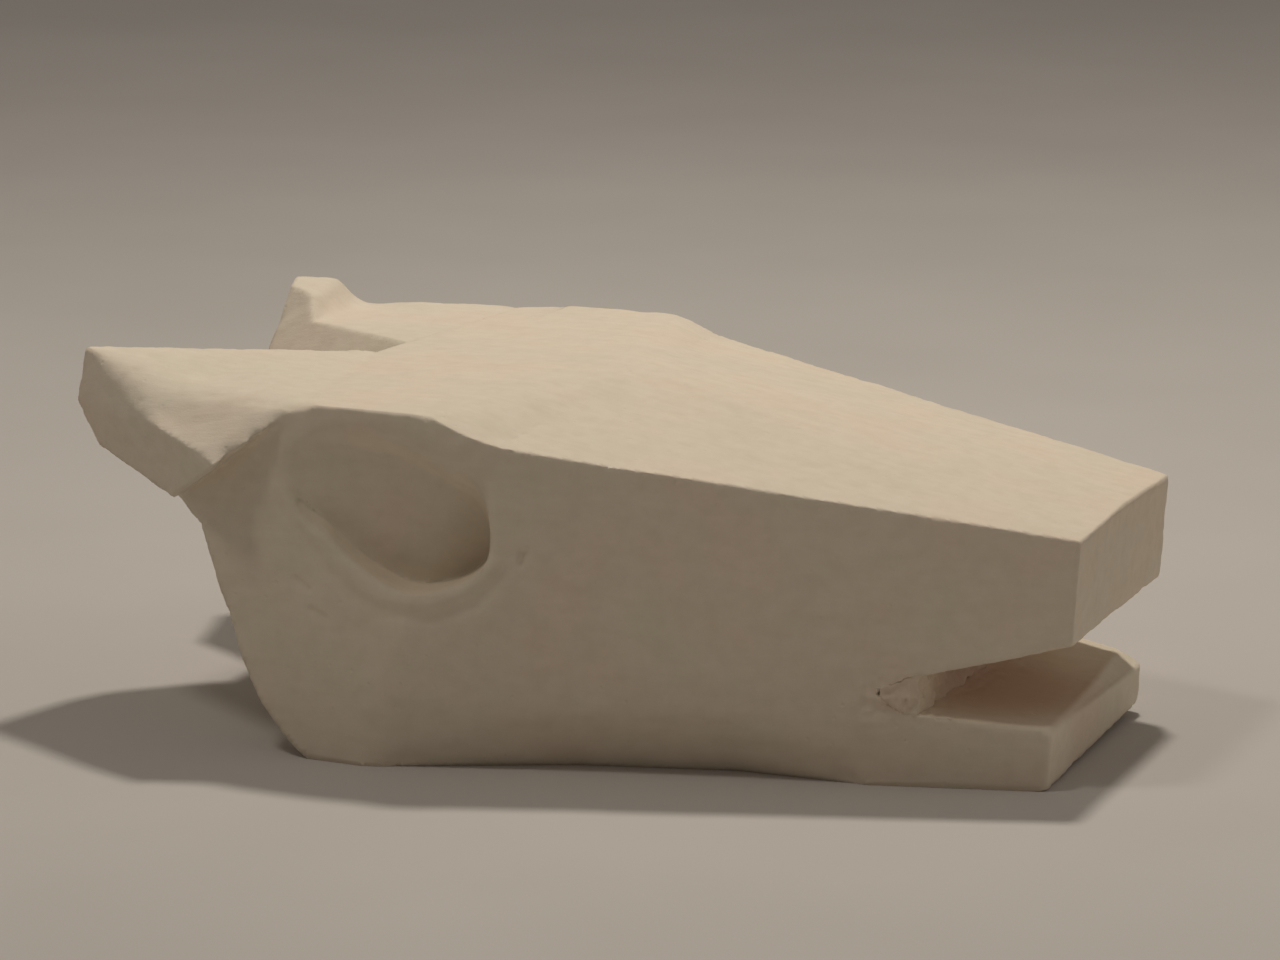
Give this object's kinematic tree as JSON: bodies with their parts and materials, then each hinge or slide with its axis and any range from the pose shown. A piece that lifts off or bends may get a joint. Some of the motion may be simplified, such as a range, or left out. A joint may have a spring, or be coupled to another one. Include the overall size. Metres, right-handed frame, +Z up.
{
  "type": "plaster animal head",
  "caption": "Free-standing faceted plaster animal head: broad skull, long tapering muzzle, open wedge mouth, hollow eye sockets and short swept-back ears.",
  "frame": {"origin": "on the table, under the middle of the head's bounding box", "axes": "+X from the ears to the nose, +Z up from the table, -Y the animal's right side"},
  "size_m": [0.23, 0.1494, 0.0818],
  "materials": {
    "plaster": "matt, knife-cut and rubbed smooth",
    "rasped_plaster": "matt, coarse rasp and blade marks",
    "torn_plaster": "matt, crumbly broken surface"
  },
  "bodies": {
    "root": {"skull": "plaster", "lower_jaw": "plaster", "right_ear": "rasped_plaster", "left_ear": "rasped_plaster", "mouth_web": "torn_plaster"}
  },
  "joints": []
}
